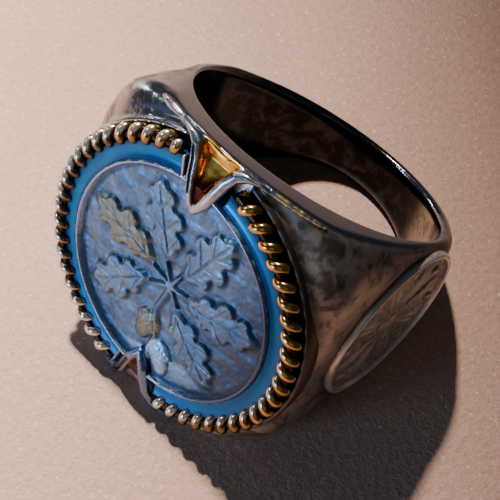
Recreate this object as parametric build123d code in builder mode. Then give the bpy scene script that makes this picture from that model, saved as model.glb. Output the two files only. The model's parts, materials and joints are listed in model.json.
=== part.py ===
from build123d import *
import math
import os

# A heavy silver signet ring that lies on its side. All sizes are in millimetres.
# Up to the last step the ring stays in its own frame, with the finger's axis along Y,
# X across the finger and the face looking along +Z.

# Band and finger hole
finger_r = 10.0
band_wall = 1.45
flank_wall = 1.0
back_width = 3.7
rim_margin = 0.15
rim_round = 0.5

# Head: the broad block below the face, seen from above a square with round corners
head_wall = 2.05
head_ledge = 0.31
dome_flare = 1.6
dome_height = 4.65
dome_bulge = 0.75
shoulder_round = 2.2

# Cup: the low round wall that holds the face
cup_wall = 0.33
cup_rise = 0.75
tray_depth = 0.45

# Face medallion with its thin raised line
face_r = 8.79
face_thickness = 0.73
face_line_rise = 0.45
face_line_width = 0.42
relief_rise = 0.3

# Oak sprig on the face
stem_width = 0.5
leaf_length = 6.5
leaf_width = 3.9
leaf_blade_width = 2.3
acorn_length = 3.2
acorn_width = 1.7
acorn_cap_width = 2.2
acorn_rise = 0.39

# Enamel channel between the medallion and the rope
enamel_width = 0.68
enamel_thickness = 0.87
enamel_dish = 0.14
enamel_end_gap = 0.15

# Rope border
rope_mid_rise = 0.77
rope_core_width = 0.8
rope_core_height = 0.62
rope_core_overhang = 0.42
strand_spacing = 1.246
strand_r = 0.47
strand_length = 1.43
strand_turn = 27.0
strand_end_cut = 0.19

# Split claws over the upper and lower edge of the face
claw_overlap = 2.09
claw_wide_x = 2.75
claw_tip_rise = 0.45
claw_heel_rise = 0.6
claw_bow = 0.2
hollow_tip_inset = 1.8
hollow_deep_inset = 2.8
hollow_deep_x = 0.85
hollow_wide_x = 2.0
hollow_floor_rise = 0.2
ridge_r = 0.28
ridge_drop = 1.15

# Medallions on the two flanks
side_r = 6.34
side_z = 1.96
side_seat_depth = 0.4
side_ground = 0.3
side_rim_width = 0.5
side_rim_height = 0.68
side_petals = 8
side_petal_width = 1.1
side_petal_clear = 0.35
side_boss_r = 1.15
side_relief_rise = 0.22

# Gap beside every piece that is set into the silver
gap = 0.04

# Heights above the finger's axis that follow from the sizes above
head_z = finger_r + head_wall
dome_start_z = head_z - dome_height
cup_lip_z = head_z + cup_rise
tray_z = cup_lip_z - tray_depth
face_field_z = tray_z + face_thickness
face_line_z = face_field_z + face_line_rise
enamel_z = tray_z + enamel_thickness
rope_mid_z = tray_z + rope_mid_rise
claw_tip_z = face_line_z + claw_tip_rise
claw_heel_z = cup_lip_z + claw_heel_rise
hollow_floor_z = tray_z + hollow_floor_rise
ridge_end_z = head_z - ridge_drop

# Radii about the face's axis, from the medallion outwards
strand_cos = math.cos(math.radians(strand_turn))
strand_sin = math.sin(math.radians(strand_turn))
strand_across = max(
    (strand_length / 2 - strand_end_cut) * strand_cos + strand_r * strand_sin,
    strand_length / 2 * strand_cos + (strand_r - strand_end_cut) * strand_sin,
)
enamel_in_r = face_r + gap
enamel_out_r = enamel_in_r + enamel_width
rope_mid_r = enamel_out_r + gap + strand_across
tray_r = rope_mid_r + strand_across + gap
cup_r = tray_r + cup_wall
head_foot_r = cup_r + head_ledge
dome_r = head_foot_r + dome_flare

# Distances across the finger and along it
back_r = finger_r + band_wall
flank_x = finger_r + flank_wall
side_seat_x = flank_x - side_seat_depth
reach = back_r + dome_r
rim_tan = (cup_r + rim_margin - back_width / 2) / (cup_lip_z + back_r)
rim_slope = math.degrees(math.atan(rim_tan))
claw_tip_y = face_r - claw_overlap
claw_wide_y = head_foot_r
hollow_tip_y = claw_tip_y + hollow_tip_inset
hollow_deep_y = claw_tip_y + hollow_deep_inset

# Arc that rounds the head's corners, from the flanks' height up to the foot of the cup
corner_tilt = math.atan2(head_z - dome_start_z, dome_r - head_foot_r)
corner_chord = math.hypot(head_z - dome_start_z, dome_r - head_foot_r)
corner_r = corner_chord**2 / (8 * dome_bulge) + dome_bulge / 2
corner_crown = (
    (head_foot_r + dome_r) / 2 + dome_bulge * math.sin(corner_tilt),
    (head_z + dome_start_z) / 2 + dome_bulge * math.cos(corner_tilt),
)
corner_mid = (
    corner_crown[0] - corner_r * math.sin(corner_tilt),
    corner_crown[1] - corner_r * math.cos(corner_tilt),
)


def rim_y(z):
    """Half of the band's width at a height above the finger's axis."""
    return back_width / 2 + (z + back_r) * rim_tan


# Strip of the head's round corner that is left between the rim face and the flank
corner_y = rim_y(dome_start_z)
corner_strip = math.hypot(
    math.sqrt(dome_r**2 - corner_y**2) - flank_x,
    corner_y - math.sqrt(dome_r**2 - flank_x**2),
)
rim_fillet = min(rim_round, corner_strip)


def dome_at(z):
    """Radius of the head's round corners at a height above the finger's axis."""
    return corner_mid[0] + math.sqrt(max(0, corner_r**2 - (z - corner_mid[1]) ** 2))


def claw_x(y):
    """Half of a claw's width at a distance from the face's centre."""
    return claw_wide_x * (y - claw_tip_y) / (claw_wide_y - claw_tip_y)


def claw_z(y):
    """Height of a claw's top at a distance from the face's centre."""
    return claw_tip_z + (claw_heel_z - claw_tip_z) * (y - claw_tip_y) / (claw_wide_y - claw_tip_y)


def slice_plane(angle):
    """Upright plane through the face's axis, with its own x pointing outwards."""
    a = math.radians(angle)
    return Plane((0, 0, 0), x_dir=(math.cos(a), math.sin(a), 0), z_dir=(math.sin(a), -math.cos(a), 0))


# Leaves of the sprig: middle as shares of the face's radius, turn in degrees and size
sprig_leaves = (
    (-0.53, 0.14, 165, 1.0),
    (-0.21, 0.51, 112, 0.97),
    (0.27, 0.48, 60, 1.0),
    (0.55, 0.08, 8, 1.0),
    (0.40, -0.38, -44, 0.96),
    (-0.44, -0.33, 217, 0.96),
)
# Stem: three points of its arc, as shares of the face's radius
sprig_stem = ((0.05, 0.02), (-0.02, -0.4), (0.02, -0.88))
# Lobes of one leaf: place along and across it and radius, as shares of its length and width
leaf_lobes = ((0.28, 0.2, 0.17), (0.52, 0.26, 0.21), (0.76, 0.18, 0.17))
# Acorns: middle as shares of the face's radius and turn in degrees
sprig_acorns = ((-0.05, -0.5, 255), (0.15, -0.7, 290))

# Angles that each claw, rope arc and enamel arc takes up about the face's centre
rope_strands = round(2 * math.pi * rope_mid_r / strand_spacing)
strand_pitch = 360 / rope_strands
claw_half = math.degrees(math.atan2(claw_x(rope_mid_r), rope_mid_r))
arc_strands = int((180 - 2 * claw_half) / strand_pitch)
rope_span = (arc_strands - 1) * strand_pitch
core_end = math.degrees(rope_core_overhang / rope_mid_r)
enamel_end = math.atan2(claw_x(enamel_out_r), enamel_in_r) + enamel_end_gap / enamel_in_r
enamel_span = 180 - 2 * math.degrees(enamel_end)

with BuildPart() as between_rims:
    # Room between the two flat rim faces
    with BuildSketch(Plane.YZ):
        back, front = rim_y(-back_r), rim_y(claw_tip_z)
        Polygon((-back, -back_r), (back, -back_r), (front, claw_tip_z), (-front, claw_tip_z), align=None)
    extrude(amount=reach, both=True)

with BuildPart() as claw:
    # Arrowhead that reaches in over the face, with a top that falls towards the rim
    root_z = head_z - shoulder_round
    with BuildSketch(Plane.XY.offset(root_z)):
        with BuildLine():
            for side in (1, -1):
                middle = (side * (claw_wide_x / 2 - claw_bow), (claw_tip_y + claw_wide_y) / 2)
                ThreePointArc((0, claw_tip_y), middle, (side * claw_wide_x, claw_wide_y))
            Line((-claw_wide_x, claw_wide_y), (claw_wide_x, claw_wide_y))
        make_face()
    extrude(amount=claw_tip_z - root_z)
    with BuildSketch(Plane.YZ):
        Polygon((0, root_z), (reach, root_z), (reach, claw_z(reach)), (0, claw_z(0)), align=None)
    extrude(amount=claw_wide_x, both=True, mode=Mode.INTERSECT)
    # Its tongue clears the medallion below
    with BuildSketch(Plane.XY):
        Circle(enamel_in_r)
    extrude(amount=face_line_z + gap, mode=Mode.SUBTRACT)
    # Hollow between its two arms, open towards the rim
    for y, half, floor in (
        (hollow_tip_y, gap, claw_tip_z - gap),
        (hollow_deep_y, hollow_deep_x, hollow_floor_z),
        (claw_wide_y + gap, hollow_wide_x, hollow_floor_z),
    ):
        with BuildSketch(Plane.XZ.offset(-y)):
            Polygon((-half, claw_tip_z + gap), (half, claw_tip_z + gap), (0, floor), align=None)
    loft(ruled=True, mode=Mode.SUBTRACT)

with BuildPart() as ridge:
    # Thin bright ridge that runs on from one arm of a claw along the rim's outer edge
    with BuildLine() as ridge_line:
        drop = head_z - ridge_end_z
        points = []
        for share in (0, 1 / 3, 2 / 3, 1):
            z = head_z - drop * share
            y = rim_y(z) - ridge_r
            points.append((math.sqrt(dome_at(z) ** 2 - y**2), y, z))
        Spline((claw_x(rim_y(head_z)), rim_y(head_z) - ridge_r, cup_lip_z), *points)
    with BuildSketch(Plane(ridge_line.line @ 0, z_dir=ridge_line.line % 0)):
        Circle(ridge_r)
    sweep(path=ridge_line.line)
    with Locations(ridge_line.line @ 1):
        Sphere(ridge_r)

with BuildPart() as shank:
    # Outline from the side, drawn out along the finger
    with BuildSketch(Plane.XZ):
        Circle(back_r)
        Rectangle(2 * flank_x, 2 * back_r, mode=Mode.INTERSECT)
        with BuildSketch(mode=Mode.PRIVATE) as block:
            Rectangle(2 * flank_x, head_z, align=(Align.CENTER, Align.MIN))
            fillet(block.vertices().group_by(Axis.Y)[-1], shoulder_round)
        add(block)
    extrude(amount=reach, both=True)
    # Round corners of the head about the face's axis
    with BuildSketch(Plane.XZ):
        with BuildLine():
            foot = (head_foot_r, head_z)
            start = (dome_r, dome_start_z)
            Polyline(foot, (0, head_z), (0, -reach), (dome_r, -reach), start)
            ThreePointArc(start, corner_crown, foot)
        make_face()
    revolve(axis=Axis.Z, mode=Mode.INTERSECT)
    # Flat rim faces with soft outer edges
    add(between_rims.part, mode=Mode.INTERSECT)
    rim_edges = []
    for side in (1, -1):
        outward = Vector(0, side * math.cos(math.radians(rim_slope)), -math.sin(math.radians(rim_slope)))
        flats = shank.faces().filter_by(GeomType.PLANE)
        rim_edges += flats.sort_by(lambda face: face.normal_at().dot(outward))[-1].edges()
    fillet(rim_edges, rim_fillet)
    # Cup that holds the face
    with BuildSketch(Plane.XY.offset(head_z - shoulder_round)):
        Circle(cup_r)
    extrude(amount=cup_lip_z - head_z + shoulder_round)
    # Tray for the medallion, the enamel and the rope
    with BuildSketch(Plane.XY.offset(tray_z)):
        Circle(tray_r)
    extrude(amount=cup_lip_z, mode=Mode.SUBTRACT)
    # Claws and the ridges that run on from them
    add(claw.part)
    mirror(claw.part, about=Plane.XZ)
    add(ridge.part)
    mirror(ridge.part, about=Plane.YZ)
    mirror(ridge.part, about=Plane.XZ)
    add(ridge.part.rotate(Axis.Z, 180))
    add(between_rims.part, mode=Mode.INTERSECT)
    # Finger hole
    with BuildSketch(Plane.XZ):
        Circle(finger_r)
    extrude(amount=reach, both=True, mode=Mode.SUBTRACT)
    # Round seats of the side medallions
    for side in (1, -1):
        with BuildSketch(Plane.YZ.offset(side * side_seat_x)):
            with Locations((0, side_z)):
                Circle(side_r + gap)
        extrude(amount=side * reach, mode=Mode.SUBTRACT)

with BuildPart() as face_medallion:
    # Disc with its raised line
    with BuildSketch(Plane.XY.offset(tray_z)):
        Circle(face_r)
    extrude(amount=face_field_z - tray_z)
    with BuildSketch(Plane.XY.offset(face_field_z)):
        Circle(face_r)
        Circle(face_r - face_line_width, mode=Mode.SUBTRACT)
    extrude(amount=face_line_z - face_field_z)
    # Oak sprig: a bowed stem, lobed leaves and two acorns
    with BuildSketch(Plane.XY.offset(face_field_z)):
        with BuildLine():
            ThreePointArc(*((x * face_r, y * face_r) for x, y in sprig_stem))
        trace(line_width=stem_width)
        for x, y, turn, size in sprig_leaves:
            with Locations(Location((x * face_r, y * face_r), turn)):
                Ellipse(leaf_length * size / 2, leaf_blade_width * size / 2)
            for along, across, lobe in leaf_lobes:
                for side in (1, -1):
                    a = math.radians(turn)
                    u = (along - 0.5) * leaf_length * size
                    v = side * across * leaf_width * size
                    spot = (
                        x * face_r + u * math.cos(a) - v * math.sin(a),
                        y * face_r + u * math.sin(a) + v * math.cos(a),
                    )
                    with Locations(spot):
                        Circle(lobe * leaf_width * size)
    extrude(amount=relief_rise)
    for x, y, turn in sprig_acorns:
        with BuildSketch(Plane.XY.offset(face_field_z)):
            with Locations(Location((x * face_r, y * face_r), turn)):
                Ellipse(acorn_length / 2, acorn_width / 2)
            with Locations((x * face_r, y * face_r)):
                Circle(acorn_cap_width / 2)
        extrude(amount=acorn_rise)


def enamel_arc(start):
    """Dished strip of enamel from one claw round to the other."""
    with BuildPart() as strip:
        with BuildSketch(slice_plane(start)):
            with BuildLine():
                middle = (enamel_in_r + enamel_out_r) / 2
                inner, outer = (enamel_in_r, enamel_z), (enamel_out_r, enamel_z)
                Polyline(inner, (enamel_in_r, tray_z), (enamel_out_r, tray_z), outer)
                ThreePointArc(outer, (middle, enamel_z - enamel_dish), inner)
            make_face()
        revolve(axis=Axis.Z, revolution_arc=enamel_span)
    return strip


def rope_arc(start):
    """Twisted border from one claw round to the other: slanted strands on a plain core."""
    with BuildPart() as strand:
        with BuildSketch(Plane.YZ.offset(-strand_length / 2)):
            Circle(strand_r)
        extrude(amount=strand_length)
        chamfer(strand.edges().filter_by(GeomType.CIRCLE), strand_end_cut)
    with BuildPart() as rope:
        with BuildSketch(slice_plane(start - core_end)):
            with Locations((rope_mid_r, tray_z)):
                Rectangle(rope_core_width, rope_core_height, align=(Align.CENTER, Align.MIN))
        revolve(axis=Axis.Z, revolution_arc=rope_span + 2 * core_end)
        with Locations((0, 0, rope_mid_z)):
            with PolarLocations(rope_mid_r, arc_strands, start, rope_span, endpoint=True):
                add(strand.part, rotation=(0, 0, -strand_turn))
    return rope


def side_piece(side):
    """Round medallion on a flank, with a raised edge and a rosette of petals."""
    flank = Plane((side * side_seat_x, 0, side_z), x_dir=(0, side, 0), z_dir=(side, 0, 0))
    field_r = side_r - side_rim_width
    petal_length = field_r - side_boss_r - 2 * side_petal_clear
    with BuildPart() as piece:
        with BuildSketch(flank):
            Circle(side_r)
        extrude(amount=side_ground)
        with BuildSketch(flank):
            Circle(side_r)
            Circle(field_r, mode=Mode.SUBTRACT)
        extrude(amount=side_rim_height)
        with BuildSketch(flank):
            Circle(side_boss_r)
            with PolarLocations((field_r + side_boss_r) / 2, side_petals):
                Ellipse(petal_length / 2, side_petal_width / 2)
        extrude(amount=side_ground + side_relief_rise)
    return piece


pieces = {
    "shank": shank,
    "face_medallion": face_medallion,
    "enamel_right": enamel_arc(-enamel_span / 2),
    "enamel_left": enamel_arc(180 - enamel_span / 2),
    "rope_right": rope_arc(-rope_span / 2),
    "rope_left": rope_arc(180 - rope_span / 2),
    "side_medallion_right": side_piece(1),
    "side_medallion_left": side_piece(-1),
}

# The ring is laid down on its lower rim face, with the middle of its footprint at the origin
lying = Rot(X=90 - rim_slope)
box = Compound([piece.part.moved(lying) for piece in pieces.values()]).bounding_box()
rest = Pos(-box.center().X, -box.center().Y, -box.min.Z) * lying

os.makedirs("parts", exist_ok=True)
for name, piece in pieces.items():
    piece.part = piece.part.moved(rest)
    piece.part.label = name
    export_step(piece.part, f"parts/{name}.step")
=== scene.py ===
import json
import math

import bmesh
import bpy
import numpy as np
from mathutils import Matrix, Vector


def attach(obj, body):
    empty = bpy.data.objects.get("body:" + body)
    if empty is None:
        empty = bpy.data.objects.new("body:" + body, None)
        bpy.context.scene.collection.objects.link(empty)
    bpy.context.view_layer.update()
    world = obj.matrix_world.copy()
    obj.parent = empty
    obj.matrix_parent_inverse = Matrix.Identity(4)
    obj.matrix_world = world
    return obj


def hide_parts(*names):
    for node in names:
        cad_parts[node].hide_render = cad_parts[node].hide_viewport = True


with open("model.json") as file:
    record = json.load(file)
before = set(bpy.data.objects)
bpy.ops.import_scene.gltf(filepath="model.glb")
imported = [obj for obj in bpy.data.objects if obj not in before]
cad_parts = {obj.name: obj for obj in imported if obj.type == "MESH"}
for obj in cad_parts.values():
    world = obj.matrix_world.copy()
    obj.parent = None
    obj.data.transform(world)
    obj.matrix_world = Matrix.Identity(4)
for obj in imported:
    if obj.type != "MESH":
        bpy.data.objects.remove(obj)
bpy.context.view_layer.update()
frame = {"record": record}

MM = 0.001
HUB_R = 0.02
RNG = np.random.default_rng(7)

# The ring's own frame, in millimetres: the finger's axis is Y, X runs across the finger and the
# face looks along +Z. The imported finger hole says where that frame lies.
hole = next(m for m in frame["record"]["mounts"] if m["name"] == "finger_hole")
FINGER_AXIS = np.array(hole["axis"]) / np.linalg.norm(hole["axis"])
ACROSS = np.array([1.0, 0.0, 0.0])
TO_ROW = np.stack([ACROSS, FINGER_AXIS, np.cross(ACROSS, FINGER_AXIS)], axis=1)
RING_MIDDLE = np.array(hole["pos_m"])

# Side medallions
SIDE_R = 6.34
SIDE_Z = 1.96
SIDE_BACK_X = 10.6
SIDE_GROUND_X = 11.04
SIDE_RIM_X = 11.4
SIDE_RIM_WIDTH = 0.5
SIDE_RIM_HALF = 0.27
SIDE_RELIEF = 0.22
SIDE_PETALS = 8
SIDE_BOSS_R = 1.05
SIDE_FIELD_R = 1.15
PETAL_CLEAR = 0.3
PETAL_HALF = 0.72
PETAL_SPREAD = 0.3
SIDE_DOT_AT_R = 4.9
SIDE_DOT_R = 0.42

# Band, head and cup
FINGER_R = hole["dims"]["r_mm"]
BACK_R = 11.45
BACK_CROWN = 0.3
FLANK_X = 11.0
BACK_WIDTH = 3.7
RIM_TAN = 0.40177
DOME_R = 13.35
DOME_Z = 7.4
DOME_BULGE = 0.75
HEAD_Z = 12.05
HEAD_R = 11.75
SHOULDER_ROUND = 2.2
CUP_IN_R = 10.3
CUP_OUT_R = 11.28
CUP_LIP_Z = 12.62
CUP_LIP_ROUND = 0.17
SKIRT_Z = 12.2
SKIRT_LEAN = 0.13
SKIRT_FOOT_Z = 9.0
TRAY_Z = 12.3
CUP_HUB_R = 0.5
CUP_FOOT_Z = 11.2
CUP_TAPER = 0.05
CUP_LIP_RISE = 0.12
CUP_LEDGE_Z = CUP_LIP_Z - 0.14
CUP_OPEN_X = (-2.9, -2.5)
CUP_MARGIN = 0.2

# How softly the body's surfaces run into each other
CROWN_FADE = 4
BACK_ROUND = 0.4
DOME_BLEND = 1.3
SKIRT_INSET = 0.02
SKIRT_ROUND = 0.12
SKIRT_FOOT_ROUND = 0.5
SKIRT_BLEND = 0.55
RIM_ROUND = 0.5
RIM_ROUND_LOST = 0.42
RIM_ROUND_BESIDE = 1.2
RIM_ROUND_BACK = 0.5
HOLE_ROUND = 0.22
HOLE_ROUND_BACK = 0.85
AT_CLAWS_Z = (11.2, 11.9)
BESIDE_X = (4.2, 7.5)
BESIDE_Z = (1, 5)
TO_BACK = (-4, 6)

# Where the body's finishes lie: how far each fades, or where it starts and is full
# TARNISH_LEFT and FLANK_X_RIGHT weight the tarnish towards +X: that share is painted shade
TARNISH_LEFT = 0.3
TARNISH_SPREAD = 3
INNER_FADE = 0.12
EDGE_FADE = 0.22
CUP_FADE = 0.6
SIDE_FADE = 0.4
OFF_RIM = (0.02, 0.22)
FLANK_X_BOTH = (7.6, 9.8)
FLANK_X_RIGHT = (2.5, 6)
FLANK_Z = (-7, -3)
DARKER_BACK_DROP = (-1.5, 2.5)
DARKER_BACK_LEFT = (-7, 0)
HALF_DARKER_SHARE = 0.4
HALF_DARKER_DROP = (-3, 5)
SATIN_R = (SIDE_R - 1, SIDE_R + 2.5)
SATIN_Z = (4, 9)
CLEAR_START = (100, 122)
CLEAR_END = (-150, -138)
DENT_SIZE = 5.0
DENT_DEPTH = 0.022
DENT_FROM_RIM = (0.2, 1.5)
CUP_EDGE_FADE = 0.12
CUP_SHINE = 1.3
CUP_NOOK_TARNISH_SHADE = 0.9
CUP_LESS = 0.2
UNDER_ROPE = (-CUP_OUT_R + 0.3, -CUP_OUT_R + 0.45)

# Face: medallion, enamel and rope
FACE_R = 8.79
FACE_FIELD_Z = 13.08
FACE_LINE_Z = 13.53
FACE_LINE_R = 8.6
FACE_LINE_HALF = 0.18
ENAMEL_OUT_R = 10.0
ENAMEL_Z = 13.24
ENAMEL_DISH = 0.16
ENAMEL_SPAN = math.radians(78.5)
ENAMEL_LEAN = 0.5
ENAMEL_TUCK = 0.02
ENAMEL_DIM_X = (3, 9)
ROPE_R = 10.42
ROPE_Z = 13.1
ROPE_TURNS = 52
ROPE_OFFSET = 0.37
ROPE_WIRE_R = 0.37
ROPE_CORE_R = 0.36
ROPE_CORE_SIDES = 8
ROPE_FLAT = 0.85
ROPE_ARC_TURNS = 11
ROPE_HALF_SPAN = ROPE_ARC_TURNS * 2 * math.pi / ROPE_TURNS
ROPE_GROOVE_SHADE = (0.38, 0.56)
ROPE_LIGHT_X = 0.85
ROPE_LIGHT_Y = 0.5
ROPE_LEAN = 0.6
# Both sides of the face, with the angle of each one's middle
FACE_SIDES = (("right", 0), ("left", math.pi))

# Claws: places along an arm's middle as (across, along, top, half width)
CLAW_ARM = (
    (0.03, 6.98, 13.72, 0.25),
    (0.30, 7.45, 13.82, 0.34),
    (0.66, 8.2, 13.84, 0.42),
    (0.98, 9.2, 13.72, 0.45),
    (1.28, 10.2, 13.5, 0.45),
    (1.72, 10.95, 13.24, 0.42),
    (2.4, 11.35, 12.98, 0.34),
    (3.2, 11.45, 12.68, 0.27),
)
CLAW_FLOOR_Y = (7.6, 8.3, 8.85, 9.6, 10.5, 11.6)
CLAW_FLOOR_Z = (13.5, 13.62, 13.58, 12.9, 12.46, 12.5)
CLAW_ROOT_Z = 12.0
CLAW_REACH_X = 5.0
CLAW_START_Y = 6.7
CLAW_END_Y = 11.1
CLAW_BOX = ((-5.2, 6.3, 11.7), (5.2, 12.4, 14.2))
CLAW_BARS = 12
WALL_SHARE = 0.9
WEB_SPREAD = 0.6
WEB_SPREAD_Y = (11, 11.4)
ARM_BLEND = 0.06
WEB_BLEND = 0.22
CHANNEL_BLEND = 0.03
CLAW_ROUND = 0.05
TIP_ROUND = 0.1
CLAW_AT_RIM = 0.2
HOLLOW_ROUND = 0.4
HOLLOW_HALF = 0.9
CLAW_PROUD = 0.03
CHANNEL = ((1.64, 8.45, 0), (1.82, 9.2, 0), (1.98, 9.9, 0))
CHANNEL_Z = 13.46
CHANNEL_R = 0.1
CREASE_SHIFT = np.array([0.02, 0, 0.42])
CREASE_R = 0.1
GILT_INSET = 0.35
GILT_INSIDE = (0, 0.12)
GILT_Y = (7.4, 7.7)
GILT_DROP = (0.02, 0.12)
GILT_Z = (12.1, 12.25)
DEPTH_SHADE_Y = 9.9
DEPTH_SHADE_LEAN = 0.5
DEPTH_SHADE_FADE = (0, 0.7)
NOOK_DROP = (0.35, 0.8)
NOOK_FROM_RIM = (0.25, 0.6)
CREASE_DARK = (-0.09, -0.01)
BLUE_REFLECTION_SHARE = 0.85
BLUE_REFLECTION_LOSS = 0.6
RIDGE_R = 0.25
RIDGE_TIP_R = 0.1
RIDGE_TOP_Z = HEAD_Z + 0.2
RIDGE_END_Z = 10.7
RIDGE_POINTS = 14
RIDGE_INSET = 0.2
RIDGE_SUNK = 0.05
RIDGE_STEPS = 60
RIDGE_SIDES = 12
# Ridges by side, where they end along the points of arm_points, and how far they swell
RIDGES = ((1, 21, 0.0), (-1, 15.5, 0.55))
# Places of a ridge along the same points
RIDGE_START = 8.6
RIDGE_SWELL_IN = (9, 12)
RIDGE_SWELL_OUT = (-15, -13)
RIDGE_LUMP_IN = (10, 12)
RIDGE_GLINT_IN = (9, 11)
RIDGE_LUMP = 0.14
RIDGE_GLINT = (-0.8, 0.3)
RIDGE_GLINT_GILT = 0.6
RIDGE_GLINT_PALE = 0.9

BODY_STEPS = ((430, 200))
CLAW_STEP = 0.06
ROPE_STEPS = ((660, 16))
FACE_STEPS = ((128, 620))
SIDE_STEPS = ((104, 460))
CUP_STEPS = 420
ENAMEL_STEPS = 260
SECTION_RAYS = 1200
HALVINGS = 26


def to_metres(points):
    """Points of the ring's own frame, in mm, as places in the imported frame."""
    return np.asarray(points) @ TO_ROW.T * MM + RING_MIDDLE


def climb(value, low, high):
    """0 below low, 1 above high and a soft climb between them."""
    share = np.clip((value - low) / (high - low), 0, 1)
    return share * share * (3 - 2 * share)


def soft_max(a, b, size):
    """Larger of two distances, rounded over a size where they meet."""
    share = np.clip(0.5 + (a - b) / (2 * size), 0, 1)
    return b + (a - b) * share + size * share * (1 - share)


def soft_min(a, b, size):
    """Smaller of two distances, rounded over a size where they meet."""
    return -soft_max(-a, -b, size)


def ripples(x, y, z, size, count=14):
    """Soft unevenness from about -1 to 1, in waves of a size."""
    total = np.zeros(np.broadcast(x, y, z).shape)
    for _ in range(count):
        direction = RNG.normal(size=3)
        direction *= 2 * math.pi / (size * np.linalg.norm(direction) * RNG.uniform(0.7, 1.5))
        phase = RNG.uniform(0, 2 * math.pi)
        total += np.sin(direction[0] * x + direction[1] * y + direction[2] * z + phase)
    return total / math.sqrt(count)


# Meshes


def grid_faces(rows, columns, wrap_rows=False, wrap_columns=False):
    """Quads of a grid of points that are numbered row by row."""
    r = np.arange(rows if wrap_rows else rows - 1)
    c = np.arange(columns if wrap_columns else columns - 1)
    r, c = (a.ravel() for a in np.meshgrid(r, c, indexing="ij"))
    r_next, c_next = (r + 1) % rows, (c + 1) % columns
    corners = (r * columns + c, r * columns + c_next, r_next * columns + c_next, r_next * columns + c)
    return np.stack(corners, axis=1).tolist()


def end_faces(count, size):
    """Faces that close the first and the last ring of points."""
    return [list(range(size)), list(range(count - size, count))]


def polar_grid(rings, turns, radius, crowd=1.0):
    """Radii and angles of a round grid of points."""
    radii = np.linspace(0, 1, rings) ** crowd * radius
    radii[0] = HUB_R
    return np.meshgrid(radii, np.arange(turns) * 2 * math.pi / turns, indexing="ij")


def backed(top, axis, hub, shrink):
    """Round relief closed by a wall along an axis and a flat back."""
    rings, turns = top.shape[:2]
    hub = np.array(hub)
    wall = top[-1].copy()
    wall[:, axis] = hub[axis]
    points = np.concatenate([top.reshape(-1, 3), wall, hub + (wall - hub) * shrink])
    return points, grid_faces(rings + 2, turns, wrap_columns=True) + end_faces(len(points), turns)


def add_object(name, data):
    """Object that is part of the scene."""
    item = bpy.data.objects.new(name, data)
    bpy.context.scene.collection.objects.link(item)
    return item


def make_piece(name, points, faces, material, node, marks):
    """Piece from points in the ring's own frame, each with a number for every mark."""
    mesh = bpy.data.meshes.new(name)
    mesh.from_pydata(to_metres(points).tolist(), [], faces)
    for mark, values in marks.items():
        layer = mesh.attributes.new(mark, "FLOAT", "POINT")
        layer.data.foreach_set("value", np.ravel(values).astype(np.float32))
    work = bmesh.new()
    work.from_mesh(mesh)
    bmesh.ops.recalc_face_normals(work, faces=work.faces)
    work.to_mesh(mesh)
    work.free()
    mesh.shade_smooth()
    mesh.materials.append(material)
    piece = add_object(name, mesh)
    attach(piece, "root")
    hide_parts(node)


def lathe(profile, start, end, steps):
    """Profile of (radius, height) turned about the face's axis, whole or as an arc."""
    whole = end - start > 2 * math.pi - 1e-6
    angles = np.linspace(start, end, steps, endpoint=not whole)
    radius, height = np.array(profile).T
    points = np.stack([
        np.outer(np.cos(angles), radius),
        np.outer(np.sin(angles), radius),
        np.tile(height, (len(angles), 1)),
    ], axis=-1).reshape(-1, 3)
    count = len(profile)
    faces = grid_faces(len(angles), count, wrap_rows=whole, wrap_columns=True)
    if not whole:
        faces += end_faces(len(points), count)
    return points, faces


def tube(line, radii, sides, flatten=1.0, out=(0, 0, 1)):
    """Closed tube along a line, with flatten as its height's share."""
    line = np.asarray(line)
    radii = np.broadcast_to(radii, len(line))
    along = np.gradient(line, axis=0)
    along /= np.linalg.norm(along, axis=1)[:, None]
    across = np.cross(along, out)
    across /= np.linalg.norm(across, axis=1)[:, None]
    up = np.cross(across, along)
    turn = np.arange(sides) * 2 * math.pi / sides
    ring = np.cos(turn)[None, :, None] * across[:, None] + np.sin(turn)[None, :, None] * up[:, None]
    ring[..., 2] *= flatten
    points = (line[:, None] + ring * radii[:, None, None]).reshape(-1, 3)
    return points, grid_faces(len(line), sides, wrap_columns=True) + end_faces(len(points), sides)


def skin(field, low, high, step):
    """Closed mesh where a field is zero, with one point in each cell it crosses."""
    grid = [np.arange(a, b + step, step) for a, b in zip(low, high)]
    value = field(*np.meshgrid(*grid, indexing="ij"))
    shape = np.array(value.shape) - 1
    total, hits = np.zeros((*shape, 3)), np.zeros(shape)
    axes = ((0, 1, 2), (1, 0, 2), (2, 0, 1))
    edges = []
    for axis, u, v in axes:
        ahead, behind = [slice(None)] * 3, [slice(None)] * 3
        ahead[axis], behind[axis] = slice(1, None), slice(None, -1)
        a, b = value[tuple(behind)], value[tuple(ahead)]
        crossed = (a < 0) != (b < 0)
        share = np.where(crossed, a / np.where(crossed, a - b, 1), 0)
        for first, second in np.ndindex(2, 2):
            cut = [slice(None)] * 3
            cut[u], cut[v] = slice(first, shape[u] + first), slice(second, shape[v] + second)
            met = crossed[tuple(cut)]
            hits += met
            total[..., axis] += np.where(met, share[tuple(cut)], 0)
            total[..., u] += met * first
            total[..., v] += met * second
        edges.append(np.argwhere(crossed))
    used = hits > 0
    number = np.full(shape, -1)
    number[used] = np.arange(used.sum())
    points = np.array(low) + (np.argwhere(used) + total[used] / hits[used][:, None]) * step
    faces = []
    for axis, u, v in axes:
        corners = []
        for first, second in ((0, 0), (1, 0), (1, 1), (0, 1)):
            cell = edges[axis].copy()
            cell[:, u] -= first
            cell[:, v] -= second
            corners.append(number[tuple(cell.T)])
        faces += np.stack(corners, axis=1).tolist()
    return points, faces


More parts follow.
